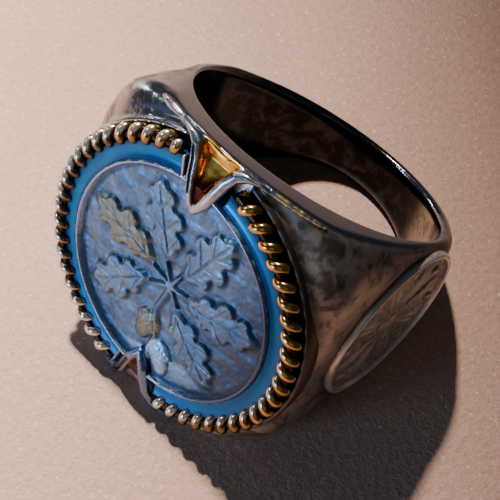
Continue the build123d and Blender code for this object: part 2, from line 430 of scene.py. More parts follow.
def bar_distance(x, y, z, line, radii):
    """Distance to a chain of bars whose radius changes along it."""
    nearest = np.full(x.shape, 1e9)
    for start, end, r_start, r_end in zip(line[:-1], line[1:], radii[:-1], radii[1:]):
        run = np.subtract(end, start)
        share = (x - start[0]) * run[0] + (y - start[1]) * run[1] + (z - start[2]) * run[2]
        share = np.clip(share / (run @ run), 0, 1)
        gap = np.sqrt(
            (x - start[0] - share * run[0]) ** 2
            + (y - start[1] - share * run[1]) ** 2
            + (z - start[2] - share * run[2]) ** 2
        )
        nearest = np.minimum(nearest, gap - r_start - (r_end - r_start) * share)
    return nearest


# Shape of the band and head


def rim_y(z):
    """Half of the band's width at a height above the finger's axis."""
    return BACK_WIDTH / 2 + (z + BACK_R) * RIM_TAN


def dome_at(z):
    """Radius of the head's round corners at a height above the finger's axis."""
    drop, inset = HEAD_Z - DOME_Z, DOME_R - HEAD_R
    chord = math.hypot(drop, inset)
    radius = chord**2 / (8 * DOME_BULGE) + DOME_BULGE / 2
    tilt = math.atan2(drop, inset)
    middle_r = (HEAD_R + DOME_R) / 2 + (DOME_BULGE - radius) * math.sin(tilt)
    middle_z = (HEAD_Z + DOME_Z) / 2 + (DOME_BULGE - radius) * math.cos(tilt)
    arc = middle_r + np.sqrt(np.maximum(radius**2 - (z - middle_z) ** 2, 0))
    return np.where(z > DOME_Z, np.minimum(arc, DOME_R), DOME_R)


def outer_field(x, y, z):
    """Below 0 inside the band's and head's outer surface."""
    crown = BACK_CROWN * (y / rim_y(z)) ** 2 * climb(-z, 0, CROWN_FADE)
    back = soft_max(np.hypot(x, z) - BACK_R + crown, np.abs(x) - FLANK_X, BACK_ROUND)
    over_x = np.abs(x) - FLANK_X + SHOULDER_ROUND
    over_z = z - HEAD_Z + SHOULDER_ROUND
    corner = np.hypot(np.maximum(over_x, 0), np.maximum(over_z, 0))
    block = corner + np.minimum(np.maximum(over_x, over_z), 0)
    outline = np.where(z < 0, back, block - SHOULDER_ROUND)
    dome = np.hypot(x, y) - dome_at(z)
    skirt = np.hypot(x, y) - CUP_OUT_R + SKIRT_INSET + SKIRT_LEAN * (SKIRT_Z - z)
    skirt = soft_max(skirt, z - SKIRT_Z, SKIRT_ROUND)
    skirt = soft_max(skirt, SKIRT_FOOT_Z - z, SKIRT_FOOT_ROUND)
    return soft_min(soft_max(outline, dome, DOME_BLEND), skirt, SKIRT_BLEND)


def tarnish_and_shade_side(x):
    """Share of the tarnish beside the cup, with painted shade that makes it heavier towards +X."""
    return TARNISH_LEFT + (1 - TARNISH_LEFT) * climb(x, -TARNISH_SPREAD, TARNISH_SPREAD)


def rim_field(y, z):
    """Below 0 between the two flat rim faces."""
    return (np.abs(y) - rim_y(z)) / math.hypot(1, RIM_TAN)


def body_field(x, y, z):
    """Below 0 inside the body, which is rounder at the back and on the -X shoulder."""
    at_back = climb(-z, *TO_BACK)
    rounding = RIM_ROUND - RIM_ROUND_LOST * climb(z, *AT_CLAWS_Z)
    rounding += RIM_ROUND_BESIDE * climb(-x, *BESIDE_X) * climb(z, *BESIDE_Z)
    rounding += RIM_ROUND_BACK * at_back
    solid = soft_max(outer_field(x, y, z), rim_field(y, z), rounding)
    hole_round = HOLE_ROUND + HOLE_ROUND_BACK * at_back
    return soft_max(solid, FINGER_R - np.hypot(x, z), hole_round)


def edge_of(field, reach):
    """Distance along each ray at which a field rises above 0."""
    near, far = np.zeros(reach.shape), reach.copy()
    for _ in range(HALVINGS):
        middle = (near + far) / 2
        inside = field(middle) < 0
        near, far = np.where(inside, middle, near), np.where(inside, far, middle)
    return (near + far) / 2


def body_points(turns, around):
    """Points of the body, a row for each angle about the finger, closer at the edges."""
    wall_reach, ray_reach = 10.0, 16.0
    middle_share = 0.45
    bend_weight, most_bend = 1.3, 0.5
    turn = np.arange(turns) * 2 * math.pi / turns
    sin, cos = np.sin(turn)[:, None], np.cos(turn)[:, None]
    flat = np.zeros((turns, 1))

    def from_hole(t):
        """Field on the way out from the finger hole's wall."""
        return outer_field((FINGER_R + t) * sin, flat, (FINGER_R + t) * cos)

    middle = FINGER_R + middle_share * edge_of(from_hole, flat + wall_reach)

    def surface(ray):
        """Distance from the finger's axis, and along it, of each ray's end."""
        def field(t):
            out = middle + t * np.cos(ray)
            return body_field(out * sin, t * np.sin(ray), out * cos)
        t = edge_of(field, np.full(ray.shape, ray_reach))
        return middle + t * np.cos(ray), t * np.sin(ray)

    fine = np.tile(np.linspace(-math.pi, math.pi, SECTION_RAYS), (turns, 1))
    out, along = surface(fine)
    step_out, step_along = np.diff(out, axis=1), np.diff(along, axis=1)
    heading = np.unwrap(np.arctan2(step_along, step_out), axis=1)
    bend = np.abs(np.diff(heading, axis=1, append=heading[:, -1:]))
    pace = np.hypot(step_out, step_along) + bend_weight * np.minimum(bend, most_bend)
    passed = np.concatenate([np.zeros((turns, 1)), np.cumsum(pace, axis=1)], axis=1)
    share = np.arange(around) / around
    rays = np.stack([np.interp(share * p[-1], p, f) for p, f in zip(passed, fine)])
    out, along = surface(rays)
    return np.stack([out * sin, along, out * cos], axis=-1)


# Materials

# Colours as linear red, green and blue. A pair is mixed by a cloudy pattern.
RIM_SILVER = (0.28, 0.40, 0.55), (0.34, 0.43, 0.55)
SHOULDER_SILVER = (0.47, 0.57, 0.71)
# Darker towards the back of the band, most on the -X side
BACK_DARK_SILVER = (0.022, 0.019, 0.018)
SATIN = (0.62, 0.56, 0.50), (0.42, 0.37, 0.32)
SATIN_GRIME = (0.10, 0.078, 0.06)
TARNISH = (0.34, 0.30, 0.265), (0.13, 0.112, 0.095)
# Brown of tarnish in the corners, with painted shade that is heavier towards +X
NOOK_TARNISH_SHADE = (0.07, 0.05, 0.036)
INNER_WALL = (0.012, 0.011, 0.010), (0.036, 0.034, 0.032)
INNER_CLEAR = (0.42, 0.36, 0.31)
CLAW_SILVER = (0.46, 0.53, 0.64), (0.32, 0.35, 0.42)
# Painted blue reflection on the lower claw
CLAW_BLUE_REFLECTION = (0.12, 0.22, 0.40)
# Painted shade with tarnish, low on the claws and in their crease
CLAW_NOOK_TARNISH_SHADE = (0.03, 0.024, 0.02)
CLAW_GOLD = (0.86, 0.46, 0.07), (0.50, 0.22, 0.04)
# Painted shade at the bottom of the gilt hollow
CLAW_DEPTH_SHADE = (0.045, 0.012, 0.006)
# Painted glints on the lumps of the +X ridges
RIDGE_GLINT_GOLD = (1.0, 0.80, 0.42)
WIRE_GOLD = (0.80, 0.50, 0.14), (0.42, 0.24, 0.08)
WIRE_GREY = (0.40, 0.38, 0.36), (0.16, 0.13, 0.11)
# Painted highlight where the wire faces the light
WIRE_PAINTED_HIGHLIGHT = (0.92, 0.86, 0.76)
# Painted shade where the wire faces away from the light and towards -Y
WIRE_PAINTED_SHADE = (0.07, 0.058, 0.045)
# Painted shade in the grooves between the wire's turns
WIRE_GROOVE_SHADE = (0.040, 0.024, 0.012)
ENAMEL_BLUE = (0.001, 0.175, 0.47), (0.002, 0.235, 0.58)
ENAMEL_SHADE = (0.001, 0.05, 0.13)
PATINA_FIELD = (0.24, 0.49, 0.82), (0.15, 0.32, 0.56)
PATINA_RAISED = (0.36, 0.71, 1.0), (0.29, 0.58, 0.94)
PATINA_SPOT = (0.12, 0.20, 0.32)
PATINA_TAN = (0.42, 0.54, 0.44), (0.24, 0.30, 0.25)
PATINA_LINE = (0.34, 0.50, 0.76)
# Painted shade across the medallion towards +X
PATINA_PAINTED_SHADE = (0.03, 0.05, 0.09)
PATINA_RECESS = (0.02, 0.033, 0.065)
# Polished crests of the side medallions, brightened also as a painted highlight
CAST_LIT_CREST = (0.98, 0.95, 0.90), (0.82, 0.79, 0.74)
CAST_DARK = (0.26, 0.24, 0.215), (0.56, 0.53, 0.48)
FLOOR_PALE = (0.54, 0.33, 0.245), (0.60, 0.37, 0.275)
FLOOR_GRAIN = (0.38, 0.23, 0.165)
FLOOR_SPECK = (0.80, 0.56, 0.43)

# Cloudy patterns: where they start and are full, lump size in mm, detail, roughness and warp
PATTERNS = {
    "tarnish": (0.40, 0.64, 2.6, 5, 0.62, 0.6),
    "spots": (0.5, 0.72, 0.7, 4, 0.65, 0.4),
    "silver": (0.4, 0.6, 5, 2),
    "grime": (0.44, 0.64, 1.3, 5, 0.62, 0.5),
    "satin": (0.35, 0.65, 2.4, 3),
    "stains": (0.46, 0.66, 1.1, 5, 0.6, 0.25),
    "silver_haze": (0.3, 0.7, 0.35, 3),
    "claw": (0.4, 0.7, 0.8, 4),
    "gold": (0.35, 0.65, 0.9, 3),
    "claw_haze": (0.3, 0.7, 0.5, 3),
    "wire": (0.35, 0.65, 0.8, 4),
    "wire_haze": (0.3, 0.7, 0.4, 3),
    "enamel": (0.35, 0.7, 2.0, 4, 0.6),
    "patina": (0.38, 0.66, 1.6, 6, 0.65, 0.8),
    "patina_spots": (0.38, 0.7, 0.35, 4, 0.7),
    "cast": (0.35, 0.7, 0.5, 4, 0.65),
    "floor": (0.42, 0.72, 0.55, 3, 0.7),
    "specks": (0.60, 0.74, 0.40, 2),
}

# Inputs and output of a colour mix, by number because several share a name
MIX_SHARE, MIX_A, MIX_B, MIX_RESULT = 0, 6, 7, 2


class Surface:
    """A metal, enamel or floor finish, built up node by node."""

    def __init__(self, name):
        self.material = bpy.data.materials.new(name)
        self.material.use_nodes = True
        self.tree = self.material.node_tree
        self.place = self.add("ShaderNodeTexCoord").outputs["Object"]

    def add(self, kind, sources=(), **settings):
        """New node with its settings and inputs."""
        node = self.tree.nodes.new(kind)
        for name, value in settings.items():
            setattr(node, name, value)
        self.feed(node, dict(sources))
        return node

    def feed(self, node, sources):
        """Joins outputs, plain numbers or colours to a node's inputs."""
        for name, source in sources.items():
            if isinstance(source, bpy.types.NodeSocket):
                self.tree.links.new(source, node.inputs[name])
            elif isinstance(source, tuple):
                node.inputs[name].default_value = (*source, 1)
            else:
                node.inputs[name].default_value = source

    def noise(self, size_mm, detail=3.0, rough=0.5, warp=0.0, place=None):
        """Cloudy pattern whose lumps are about a size across."""
        return self.add("ShaderNodeTexNoise", {
            "Scale": 1 / (size_mm * MM),
            "Detail": detail,
            "Roughness": rough,
            "Distortion": warp,
            "Vector": place or self.place,
        }).outputs["Fac"]

    def clouds(self, name, start=0.0, end=1.0):
        """Named cloudy pattern that runs from start to end."""
        low, high, *lumps = PATTERNS[name]
        return self.ramp(self.noise(*lumps), low, high, start, end)

    def scratches(self, size_mm, length):
        """Fine parallel scratches along X, so many times longer than wide."""
        stretch = self.add("ShaderNodeMapping", {"Vector": self.place})
        stretch.inputs["Scale"].default_value = (1 / length, 1, 1)
        return self.noise(size_mm, 2, place=stretch.outputs["Vector"])

    def mark(self, name):
        """Number that the mesh holds for each point."""
        return self.add("ShaderNodeAttribute", attribute_name=name).outputs["Fac"]

    def ramp(self, value, low, high, start=0.0, end=1.0):
        """Runs from start to end while value runs from low to high."""
        limits = {"Value": value, "From Min": low, "From Max": high, "To Min": start, "To Max": end}
        return self.add("ShaderNodeMapRange", limits, interpolation_type="SMOOTHSTEP").outputs[0]

    def sum(self, a, b, operation="ADD"):
        """One number from two."""
        clamp = operation in ("ADD", "SUBTRACT")
        return self.add("ShaderNodeMath", {0: a, 1: b}, operation=operation, use_clamp=clamp).outputs[0]

    def times(self, a, b):
        """Product of two numbers."""
        return self.sum(a, b, "MULTIPLY")

    def mix(self, share, a, b):
        """Colour between two colours."""
        node = self.add("ShaderNodeMix", data_type="RGBA")
        self.feed(node, {MIX_SHARE: share, MIX_A: a, MIX_B: b})
        return node.outputs[MIX_RESULT]

    def coat(self, base, mark, coat, cover=1.0):
        """Base with another colour over it where the mesh is marked."""
        share = self.mark(mark)
        return self.mix(share if cover == 1 else self.times(share, cover), base, coat)

    def bump(self, height, depth_mm, after=None):
        """Normal that raises a pattern by a depth, on top of another."""
        node = self.add("ShaderNodeBump", {"Height": height, "Distance": depth_mm * MM, "Strength": 1.0})
        if after is not None:
            self.feed(node, {"Normal": after})
        return node.outputs["Normal"]

    def dents(self, size_mm, detail, depth_mm, rough=0.5):
        """Normal that raises lumps of a size by a depth."""
        return self.bump(self.noise(size_mm, detail, rough), depth_mm)

    def finish(self, colour, metallic, rough, normal, specular=0.5):
        """Sets the shader's inputs and gives the material."""
        self.feed(self.tree.nodes["Principled BSDF"], {
            "Base Color": colour,
            "Metallic": metallic,
            "Roughness": rough,
            "Normal": normal,
            "Specular IOR Level": specular,
        })
        return self.material


def silver_finish():
    """Polished silver, tarnished on its flanks and in its corners, with painted shade that makes both
    heavier towards +X, and dark on the inner wall.
    """
    s = Surface("worn_silver_and_painted_shade")
    off_rim, inner = s.mark("off_rim"), s.mark("inner")
    clouds, spots = s.clouds("tarnish"), s.clouds("spots")
    mottle = s.sum(s.times(clouds, spots), s.times(clouds, 0.25))
    tarnish = s.times(s.times(mottle, 0.45), off_rim)
    # Flanks and corners get tarnish and painted shade, heavier towards +X
    tarnish = s.sum(tarnish, s.mark("flank_tarnish_shade"))
    tarnish = s.sum(tarnish, s.times(s.mark("nook_tarnish_shade"), 0.9))
    tarnish = s.sum(tarnish, s.times(s.mark("edge"), 0.3), "SUBTRACT")
    silver = s.mix(s.clouds("silver"), *RIM_SILVER)
    silver = s.mix(off_rim, silver, SHOULDER_SILVER)
    silver = s.coat(silver, "darker_back", BACK_DARK_SILVER)
    grime = s.clouds("grime")
    satin = s.mix(s.clouds("satin"), *SATIN)
    satin = s.mix(s.times(grime, 0.8), satin, SATIN_GRIME)
    brown = s.coat(s.mix(grime, *TARNISH), "satin", satin)
    brown = s.coat(brown, "nook_tarnish_shade", NOOK_TARNISH_SHADE)
    base = s.mix(tarnish, silver, brown)
    stain = s.clouds("stains")
    clear = s.times(s.mark("clear"), s.ramp(stain, 0, 1, start=0.9, end=0.35))
    wall = s.mix(clear, s.mix(stain, *INNER_WALL), INNER_CLEAR)
    base = s.mix(inner, base, wall)
    rough = s.sum(s.ramp(tarnish, 0, 1, start=0.14, end=0.42), s.clouds("silver_haze", end=0.05))
    rough = s.sum(rough, s.times(inner, 0.02), "SUBTRACT")
    normal = s.bump(s.scratches(size_mm=0.12, length=26), depth_mm=0.0005)
    lumps = s.times(s.noise(1.1, 3), s.ramp(off_rim, 0, 1, start=0.15, end=1))
    normal = s.bump(lumps, 0.012, normal)
    normal = s.bump(s.times(spots, off_rim), 0.008, normal)
    return s.finish(base, 1.0, rough, normal)


def claw_finish():
    """Bright silver with a gilt hollow, painted shade in the hollow's depth and low on the claws, a
    painted blue reflection on the lower claw and painted glints on the ridges.
    """
    s = Surface("claw_silver")
    silver = s.mix(s.clouds("claw"), *CLAW_SILVER)
    silver = s.coat(silver, "blue_reflection", CLAW_BLUE_REFLECTION)
    silver = s.coat(silver, "nook_tarnish_shade", CLAW_NOOK_TARNISH_SHADE)
    base = s.coat(silver, "gilt", s.mix(s.clouds("gold"), *CLAW_GOLD))
    base = s.coat(base, "painted_glint", RIDGE_GLINT_GOLD)
    base = s.coat(base, "depth_shade", CLAW_DEPTH_SHADE)
    rough = s.clouds("claw_haze", start=0.24, end=0.34)
    return s.finish(base, 1.0, rough, s.dents(size_mm=0.7, detail=2, depth_mm=0.008))


def gilt_finish():
    """Gold plating, greyer on the lower left, with a painted highlight where it faces the light and
    painted shade where it faces away, towards -Y and in its grooves.
    """
    s = Surface("gilt_and_painted_light")
    patch = s.clouds("wire")
    base = s.coat(s.mix(patch, *WIRE_GOLD), "grey_lower_left", s.mix(patch, *WIRE_GREY), cover=0.8)
    base = s.coat(base, "lit_crest", WIRE_PAINTED_HIGHLIGHT, cover=0.7)
    base = s.coat(base, "wire_shade", WIRE_PAINTED_SHADE, cover=0.75)
    base = s.coat(base, "groove_shade", WIRE_GROOVE_SHADE)
    rough = s.clouds("wire_haze", start=0.16, end=0.24)
    metallic = s.ramp(s.mark("lit_crest"), 0, 1, start=1.0, end=0.85)
    return s.finish(base, metallic, rough, s.dents(size_mm=0.3, detail=2, depth_mm=0.005))


def enamel_finish():
    """Opaque blue enamel, slightly cloudy and darker at its edges."""
    s = Surface("blue_enamel")
    base = s.coat(s.mix(s.clouds("enamel"), *ENAMEL_BLUE), "shade", ENAMEL_SHADE)
    dents = s.dents(size_mm=1.6, detail=2, depth_mm=0.02)
    return s.finish(base, metallic=0.45, rough=0.3, normal=dents, specular=0.25)


def medallion_finish():
    """Struck silver with a blue-grey patina, dark in its recesses, and painted shade towards +X."""
    s = Surface("blue_patina_and_painted_shade")
    cloud, fine = s.clouds("patina"), s.clouds("patina_spots")
    blue = s.coat(s.mix(cloud, *PATINA_FIELD), "raised", s.mix(cloud, *PATINA_RAISED))
    blue = s.mix(s.times(fine, 0.25), blue, PATINA_SPOT)
    base = s.coat(blue, "tan", s.mix(fine, *PATINA_TAN))
    base = s.coat(base, "line", PATINA_LINE)
    base = s.coat(base, "shade_towards_x", PATINA_PAINTED_SHADE, cover=0.85)
    base = s.coat(base, "recess", PATINA_RECESS)
    rough = s.ramp(cloud, 0, 1, start=0.34, end=0.46)
    rough = s.sum(rough, s.times(s.mark("line"), 0.12), "SUBTRACT")
    normal = s.dents(size_mm=0.28, detail=4, depth_mm=0.014, rough=0.6)
    return s.finish(base, 0.8, rough, s.bump(cloud, 0.02, normal))


def side_finish():
    """Cast silver, dark in its ground and bright on its edge and crests: polished, and brightened as a
    painted highlight.
    """
    s = Surface("oxidised_silver")
    lit_crest, grain = s.mark("lit_crest"), s.clouds("cast")
    bright = s.mix(s.noise(2, 3), *CAST_LIT_CREST)
    polished = s.sum(lit_crest, s.times(grain, 0.25), "SUBTRACT")
    base = s.mix(polished, s.mix(grain, *CAST_DARK), bright)
    metallic = s.ramp(lit_crest, 0, 1, start=0.5, end=0.7)
    rough = s.ramp(lit_crest, 0, 1, start=0.45, end=0.32)
    return s.finish(base, metallic, rough, s.dents(size_mm=0.3, detail=4, depth_mm=0.02))


def floor_finish():
    """Pale warm surface with a fine grain."""
    s = Surface("fine_grained_floor")
    base = s.mix(s.noise(14, 3), *FLOOR_PALE)
    base = s.mix(s.clouds("floor", end=0.55), base, FLOOR_GRAIN)
    base = s.mix(s.clouds("specks"), base, FLOOR_SPECK)
    return s.finish(base, 0.0, 0.6, s.dents(size_mm=0.55, detail=3, depth_mm=0.12, rough=0.7))


# Pieces


def make_body(material):
    """The band and head as one silver body."""
    turns, around = BODY_STEPS
    grid = body_points(turns, around)
    x, y, z = np.moveaxis(grid, -1, 0)
    from_hole, from_side = np.abs(np.hypot(x, z) - FINGER_R), np.hypot(y, z - SIDE_Z)
    outer, rim = np.abs(outer_field(x, y, z)), np.abs(rim_field(y, z))
    inner = np.exp(-from_hole / INNER_FADE)
    cup_foot = np.hypot(np.hypot(x, y) - CUP_OUT_R, z - CUP_LIP_Z)
    side_edge = np.hypot(from_side - SIDE_R, np.abs(x) - FLANK_X)
    cup_nook_tarnish_shade, side_nook = np.exp(-cup_foot / CUP_FADE), np.exp(-side_edge / SIDE_FADE)
    off_rim = climb(rim, *OFF_RIM) * (1 - inner)
    flank_tarnish_shade = np.maximum(climb(np.abs(x), *FLANK_X_BOTH), climb(x, *FLANK_X_RIGHT))
    darker_back = climb(-z, *DARKER_BACK_DROP) * climb(-x, *DARKER_BACK_LEFT)
    half_darker = HALF_DARKER_SHARE * climb(-z, *HALF_DARKER_DROP)
    around_hole = np.degrees(np.arctan2(x, z))
    clear = climb(around_hole, *CLEAR_START) * climb(-around_hole, *CLEAR_END)
    dents = ripples(x, y, z, DENT_SIZE) * DENT_DEPTH * climb(rim, *DENT_FROM_RIM) * (1 - inner)
    away = np.stack([x, 0 * y, z], axis=-1) / np.hypot(x, z)[..., None]
    points = (grid + away * dents[..., None]).reshape(-1, 3)
    marks = {
        # Tarnish in the corners, with painted shade heavier towards +X
        "nook_tarnish_shade": np.maximum(cup_nook_tarnish_shade * tarnish_and_shade_side(x), side_nook),
        "edge": np.exp(-np.maximum(np.minimum(outer, from_hole), rim) / EDGE_FADE),
        "inner": inner,
        # Tarnish on both flanks, with painted shade over the +X side
        "flank_tarnish_shade": flank_tarnish_shade * climb(z, *FLANK_Z) * off_rim,
        "off_rim": off_rim,
        "satin": climb(from_side, *SATIN_R) * climb(z, *SATIN_Z),
        "clear": clear * inner,
        # Darker towards the back of the band
        "darker_back": np.maximum(darker_back, half_darker) * (1 - inner),
    }
    faces = grid_faces(turns, around, wrap_rows=True, wrap_columns=True)
    make_piece("silver_body", points, faces, material, "shank", marks)


def make_cup(material):
    """Round wall and tray that hold the face, flush with the rims and open at the claws."""
    lip_r, lip_z = CUP_OUT_R - CUP_LIP_ROUND, CUP_LIP_Z - CUP_LIP_RISE
    profile = [(CUP_HUB_R, CUP_FOOT_Z), (CUP_OUT_R - CUP_TAPER, CUP_FOOT_Z), (CUP_OUT_R, HEAD_Z)]
    for bend in np.linspace(0, math.pi, 9):
        profile.append((lip_r + CUP_LIP_ROUND * math.cos(bend), lip_z + CUP_LIP_RISE * math.sin(bend)))
    profile += [(CUP_IN_R, CUP_LEDGE_Z), (CUP_IN_R - CUP_TAPER, TRAY_Z), (CUP_HUB_R, TRAY_Z)]
    points, faces = lathe(profile, 0, 2 * math.pi, CUP_STEPS)
    x, y, z = points.T
    radius, tarnish = np.hypot(x, y), tarnish_and_shade_side(x)
    marks = {
        # Tarnish by the cup's foot, with painted shade heavier towards +X
        "nook_tarnish_shade": np.maximum(CUP_NOOK_TARNISH_SHADE * tarnish, climb(-radius, *UNDER_ROPE)),
        "edge": np.exp(-np.abs(z - CUP_LIP_Z) / CUP_EDGE_FADE) * (CUP_SHINE - tarnish),
        "flank_tarnish_shade": tarnish - CUP_LESS,
        "off_rim": 0 * x + 1,
    }
    marks |= dict.fromkeys(("inner", "satin", "clear", "darker_back"), 0 * x)
    opening = climb(-np.abs(x), *CUP_OPEN_X) * (radius > CUP_IN_R - CUP_MARGIN)
    points[:, 2] -= opening * np.maximum(z - TRAY_Z + CUP_MARGIN, 0)
    points[:, 1] = np.clip(y, -rim_y(points[:, 2]), rim_y(points[:, 2]))
    make_piece("face_cup", points, faces, material, "shank", marks)


def arm_points():
    """Line and radii of a claw's arm, and of the ridge that runs on from it, for x above 0."""
    heights = np.linspace(RIDGE_TOP_Z, RIDGE_END_Z, RIDGE_POINTS)
    y = rim_y(heights) - RIDGE_INSET
    x = np.sqrt(dome_at(np.minimum(heights, HEAD_Z)) ** 2 - y**2)
    ridge = np.stack([x, y, heights - RIDGE_SUNK], axis=1)
    ridge_radii = np.linspace(RIDGE_R, RIDGE_TIP_R, RIDGE_POINTS)
    arm = np.array(CLAW_ARM)
    arm_line = arm[:, :3] - arm[:, 3:] * (0, 0, 1)
    return np.concatenate([arm_line, ridge]), np.concatenate([arm[:, 3], ridge_radii])


def arm_at(y):
    """Middle, top and half width of a claw's arm at a place along it."""
    across, along, top, half = np.array(CLAW_ARM)[:6].T
    return np.interp(y, along, across), np.interp(y, along, top), np.interp(y, along, half)


def crease_field(x, y, z):
    """Below 0 inside the crease along the arm towards -X."""
    line = arm_points()[0][2:6] + CREASE_SHIFT
    return bar_distance(-x, y, z, line, [CREASE_R] * len(line))


def claw_field(x, y, z):
    """Below 0 inside the claw that reaches in from y above 0."""
    side = np.abs(x)
    middle, top, half = arm_at(y)
    line, radii = arm_points()
    arms = bar_distance(side, y, z, line[:CLAW_BARS], radii[:CLAW_BARS])
    wall = np.maximum(np.abs(side - middle) - WALL_SHARE * half, z - top + half)
    wall = np.maximum(wall, y - CLAW_END_Y)
    web = side - middle - WEB_SPREAD * climb(y, *WEB_SPREAD_Y)
    web = np.maximum(web, z - np.interp(y, CLAW_FLOOR_Y, CLAW_FLOOR_Z))
    channel = bar_distance(-x, y, 0 * z, CHANNEL, [CHANNEL_R] * len(CHANNEL))
    channel = soft_max(channel, z - CHANNEL_Z, CLAW_ROUND)
    whole = soft_min(soft_min(arms, wall, ARM_BLEND), web, WEB_BLEND)
    whole = soft_min(whole, channel, CHANNEL_BLEND)
    whole = soft_max(whole, -crease_field(x, y, z), CLAW_ROUND)
    whole = soft_max(whole, CLAW_START_Y - y, TIP_ROUND)
    whole = soft_max(whole, CLAW_ROOT_Z - z, CLAW_ROUND)
    rim_round = CLAW_AT_RIM + HOLLOW_ROUND * np.exp(-((x / HOLLOW_HALF) ** 2))
    whole = soft_max(whole, rim_field(y, z) - CLAW_PROUD, rim_round)
    return soft_max(whole, side - CLAW_REACH_X, TIP_ROUND)


def make_claws(material):
    """The two split claws over the face's upper and lower edge."""
    points, faces = skin(claw_field, *CLAW_BOX, CLAW_STEP)
    x, y, z = points.T
    middle, top, half = arm_at(y)
    inside = middle - GILT_INSET * half - np.abs(x)
    gilt = climb(inside, *GILT_INSIDE) * climb(y, *GILT_Y) * climb(top - z, *GILT_DROP)
    gilt *= climb(z, *GILT_Z)
    # Painted shade, darkest at the hollow's tip
    depth_shade = climb(DEPTH_SHADE_Y - y + DEPTH_SHADE_LEAN * x, *DEPTH_SHADE_FADE) * gilt
    # Painted shade with tarnish, low on the claw away from the rim and in the crease
    nook_tarnish_shade = climb(top - z, *NOOK_DROP) * (1 - gilt) * climb(rim_y(z) - y, *NOOK_FROM_RIM)
    nook_tarnish_shade = np.maximum(nook_tarnish_shade, climb(-crease_field(x, y, z), *CREASE_DARK) * (1 - gilt))
    for name, side in (("claw_upper", 1), ("claw_lower", -1)):
        # Painted blue reflection on the lower claw, which has less gilt
        blue_reflection = np.full(len(points), BLUE_REFLECTION_SHARE * (side < 0))
        left = gilt * (1 - BLUE_REFLECTION_LOSS * blue_reflection)
        marks = {"gilt": left, "depth_shade": depth_shade, "nook_tarnish_shade": nook_tarnish_shade, "blue_reflection": blue_reflection, "painted_glint": 0 * x}
        make_piece(name, points * (1, side, 1), faces, material, "shank", marks)


def make_ridges(material):
    """Ridges that run on from the claws' arms along the rims, broad and short towards -X."""
    line, radii = arm_points()
    number = np.arange(len(line))
    all_points, all_faces, all_glints = [], [], []
    for x_side, end, swell in RIDGES:
        share = np.linspace(RIDGE_START, end, RIDGE_STEPS)
        middle = np.stack([np.interp(share, number, axis) for axis in line.T], axis=1)
        width = np.interp(share, number, radii)
        width *= 1 + swell * climb(share, *RIDGE_SWELL_IN) * climb(-share, *RIDGE_SWELL_OUT)
        lumps = np.sin(share * 3.1) * np.sin(share * 1.3 + 1)
        width *= 1 + RIDGE_LUMP * lumps * (x_side > 0) * climb(share, *RIDGE_LUMP_IN)
        points, faces = tube(middle, width, RIDGE_SIDES)
        # Painted glints of gold on the lumps of the +X ridge
        glint = climb(lumps, *RIDGE_GLINT) * (x_side > 0) * climb(share, *RIDGE_GLINT_IN)
        for y_side in (1, -1):
            start = len(points) * len(all_points)
            all_faces += [[corner + start for corner in face] for face in faces]
            all_points.append(points * (x_side, y_side, 1))
            all_glints.append(np.repeat(glint, RIDGE_SIDES))
    points, glint = np.concatenate(all_points), np.concatenate(all_glints)
    points[:, 1] = np.maximum(points[:, 1], -rim_y(points[:, 2]))
    marks = {"gilt": RIDGE_GLINT_GILT * glint, "painted_glint": RIDGE_GLINT_PALE * glint}
    marks |= dict.fromkeys(("depth_shade", "nook_tarnish_shade", "blue_reflection"), 0 * glint)
    make_piece("rim_ridges", points, all_faces, material, "shank", marks)


def make_enamel(material):
    """Two dished strips of enamel, one on each side of the claws."""
    share = np.linspace(0, 1, 15)
    radius = FACE_R - ENAMEL_TUCK + share * (ENAMEL_OUT_R - FACE_R)
    deepest = 1 + ENAMEL_LEAN / 2 - ENAMEL_LEAN * share
    height = ENAMEL_Z - ENAMEL_DISH * 4 * share * (1 - share) * deepest
    profile = [(FACE_R - ENAMEL_TUCK, TRAY_Z), *zip(radius, height), (ENAMEL_OUT_R - ENAMEL_TUCK, TRAY_Z)]
    for side, middle in FACE_SIDES:
        points, faces = lathe(profile, middle - ENAMEL_SPAN, middle + ENAMEL_SPAN, ENAMEL_STEPS)
        x, y, _ = points.T
        radius = np.hypot(x, y)
        near_rope = climb(radius, ROPE_R - (1.15 if side == "right" else 0.95), ROPE_R - 0.45)
        near_line = climb(-radius, -FACE_R - 0.14, -FACE_R)
        on_right = climb(x, *ENAMEL_DIM_X)
        marks = {"shade": np.maximum.reduce([near_rope * 0.85, near_line * 0.6, on_right * 0.6])}
        make_piece(f"enamel_{side}_strip", points, faces, material, f"enamel_{side}", marks)


def rope_coil(middle, steps, sides):
    """The wire coil and the core that it is wound on."""
    angle = np.linspace(middle - ROPE_HALF_SPAN, middle + ROPE_HALF_SPAN, steps)
    twist = ROPE_TURNS * angle
    out = np.stack([np.cos(twist) * np.cos(angle), np.cos(twist) * np.sin(angle), np.sin(twist)], axis=1)
    core = np.stack([ROPE_R * np.cos(angle), ROPE_R * np.sin(angle), 0 * angle + ROPE_Z], axis=1)
    to_end = (ROPE_HALF_SPAN - np.abs(angle - middle)) * 2 * ROPE_TURNS / math.pi
    radii = ROPE_WIRE_R * np.sqrt(np.clip(1 - (1 - np.clip(to_end, 0, 1)) ** 2, 0.01, 1))
    line = core + out * ROPE_OFFSET * (1, 1, ROPE_FLAT)
    points, faces = tube(line, radii, sides, ROPE_FLAT, out)
    core_points, core_faces = tube(core, ROPE_CORE_R, ROPE_CORE_SIDES, ROPE_FLAT)
    faces += [[corner + len(points) for corner in face] for face in core_faces]
    return np.concatenate([points, core_points]), faces


